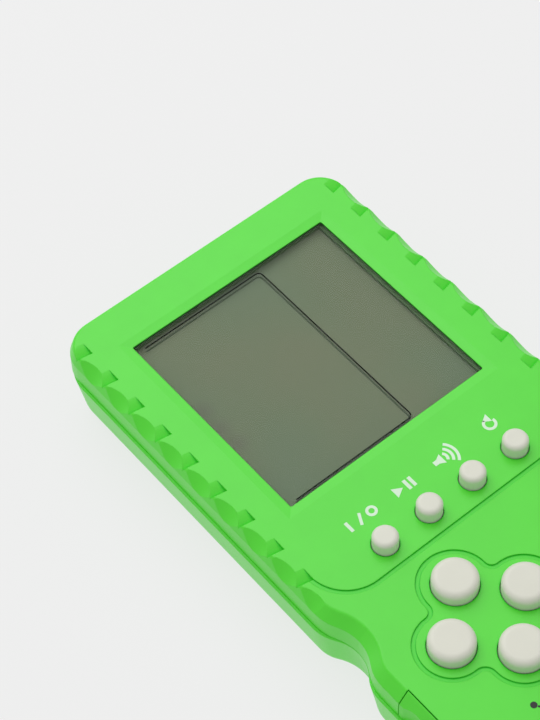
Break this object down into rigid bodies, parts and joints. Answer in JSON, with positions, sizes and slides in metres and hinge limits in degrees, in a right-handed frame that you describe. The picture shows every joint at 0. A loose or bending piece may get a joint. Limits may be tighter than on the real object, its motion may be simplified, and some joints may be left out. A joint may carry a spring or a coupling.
{
  "type": "handheld game console",
  "caption": "Handheld game console with a square screen, a row of small buttons, a direction group, one large button, side notches and a battery door.",
  "frame": {"origin": "middle of the back face, on which the console lies", "axes": "+X to the right seen from the front, +Y towards the screen end, +Z out of the front face"},
  "size_m": [0.0812, 0.1598, 0.0258],
  "materials": {
    "green_case": "bright green moulded plastic, semi-gloss",
    "green_grip": "green soft-touch moulding, satin",
    "clear_lens": "clear acrylic, polished",
    "black_foam": "thin black foam, matt",
    "polariser_film": "grey-green polarising film, satin",
    "display_glass": "thin clear glass, ground edges",
    "reflector_film": "grey-green reflecting film, satin",
    "white_holder": "white moulded plastic, matt",
    "contact_rubber": "layered conducting rubber",
    "circuit_board": "resin-bonded paper board with printed tracks",
    "black_resin": "black potting resin, glossy",
    "capacitor_sleeve": "dark blue shrink sleeve",
    "ceramic": "orange dipped ceramic",
    "dark_ceramic": "black chip body",
    "key_rubber": "white silicone rubber, matt",
    "button_plastic": "off-white moulded button, satin",
    "plated_steel": "plated pressed steel",
    "speaker_paper": "black pressed paper",
    "lead_sleeve": "red wire sleeve",
    "plated_spring": "nickel-plated spring strip",
    "cell_sleeve": "plain blue cell sleeve",
    "screw_steel": "zinc-plated steel"
  },
  "bodies": {
    "case": {"front_shell": "green_case", "rear_shell": "green_case", "right_grip": "green_grip", "left_grip": "green_grip", "screen_lens": "clear_lens", "screen_gasket": "black_foam", "front_film": "polariser_film", "front_glass": "display_glass", "rear_glass": "display_glass", "reflector_film": "reflector_film", "screen_holder": "white_holder", "upper_zebra_strip": "contact_rubber", "lower_zebra_strip": "contact_rubber", "main_board": "circuit_board", "chip_blob": "black_resin", "filter_capacitor": "capacitor_sleeve", "clock_resonator": "ceramic", "chip_resistors": "dark_ceramic", "small_key_mat": "key_rubber", "direction_key_mat": "key_rubber", "rotate_key_mat": "key_rubber", "speaker_frame": "plated_steel", "speaker_cone": "speaker_paper", "speaker_magnet": "plated_steel", "speaker_leads": "lead_sleeve", "battery_leads": "lead_sleeve", "positive_contact": "plated_spring", "negative_contact": "plated_spring", "bridge_contact": "plated_spring", "upper_battery": "cell_sleeve", "lower_battery": "cell_sleeve", "case_screws": "screw_steel", "board_screws": "screw_steel", "power_dome": "key_rubber", "start_dome": "key_rubber", "sound_dome": "key_rubber", "reset_dome": "key_rubber", "up_dome": "key_rubber", "left_dome": "key_rubber", "right_dome": "key_rubber", "down_dome": "key_rubber", "rotate_dome": "key_rubber"},
    "power_key": {"power_button": "button_plastic"},
    "start_key": {"start_button": "button_plastic"},
    "sound_key": {"sound_button": "button_plastic"},
    "reset_key": {"reset_button": "button_plastic"},
    "up_key": {"up_button": "button_plastic"},
    "left_key": {"left_button": "button_plastic"},
    "right_key": {"right_button": "button_plastic"},
    "down_key": {"down_button": "button_plastic"},
    "rotate_key": {"rotate_button": "button_plastic"},
    "door": {"battery_door": "green_case"}
  },
  "joints": [
    {"name": "power_press", "type": "slide", "parent": "case", "child": "power_key", "axis": [0, 0, -1], "range_m": [0, 0.001], "stiffness_N_per_m": 400, "deforming": ["power_dome"]},
    {"name": "start_press", "type": "slide", "parent": "case", "child": "start_key", "axis": [0, 0, -1], "range_m": [0, 0.001], "stiffness_N_per_m": 400, "deforming": ["start_dome"]},
    {"name": "sound_press", "type": "slide", "parent": "case", "child": "sound_key", "axis": [0, 0, -1], "range_m": [0, 0.001], "stiffness_N_per_m": 400, "deforming": ["sound_dome"]},
    {"name": "reset_press", "type": "slide", "parent": "case", "child": "reset_key", "axis": [0, 0, -1], "range_m": [0, 0.001], "stiffness_N_per_m": 400, "deforming": ["reset_dome"]},
    {"name": "up_press", "type": "slide", "parent": "case", "child": "up_key", "axis": [0, 0, -1], "range_m": [0, 0.0012], "stiffness_N_per_m": 400, "deforming": ["up_dome"]},
    {"name": "left_press", "type": "slide", "parent": "case", "child": "left_key", "axis": [0, 0, -1], "range_m": [0, 0.0012], "stiffness_N_per_m": 400, "deforming": ["left_dome"]},
    {"name": "right_press", "type": "slide", "parent": "case", "child": "right_key", "axis": [0, 0, -1], "range_m": [0, 0.0012], "stiffness_N_per_m": 400, "deforming": ["right_dome"]},
    {"name": "down_press", "type": "slide", "parent": "case", "child": "down_key", "axis": [0, 0, -1], "range_m": [0, 0.0012], "stiffness_N_per_m": 400, "deforming": ["down_dome"]},
    {"name": "rotate_press", "type": "slide", "parent": "case", "child": "rotate_key", "axis": [0, 0, -1], "range_m": [0, 0.0014], "stiffness_N_per_m": 400, "deforming": ["rotate_dome"]},
    {"name": "door_open", "type": "hinge", "parent": "case", "child": "door", "pos_m": [0, -0.03965, 0], "axis": [1, 0, 0], "range_deg": [0, 75]}
  ]
}
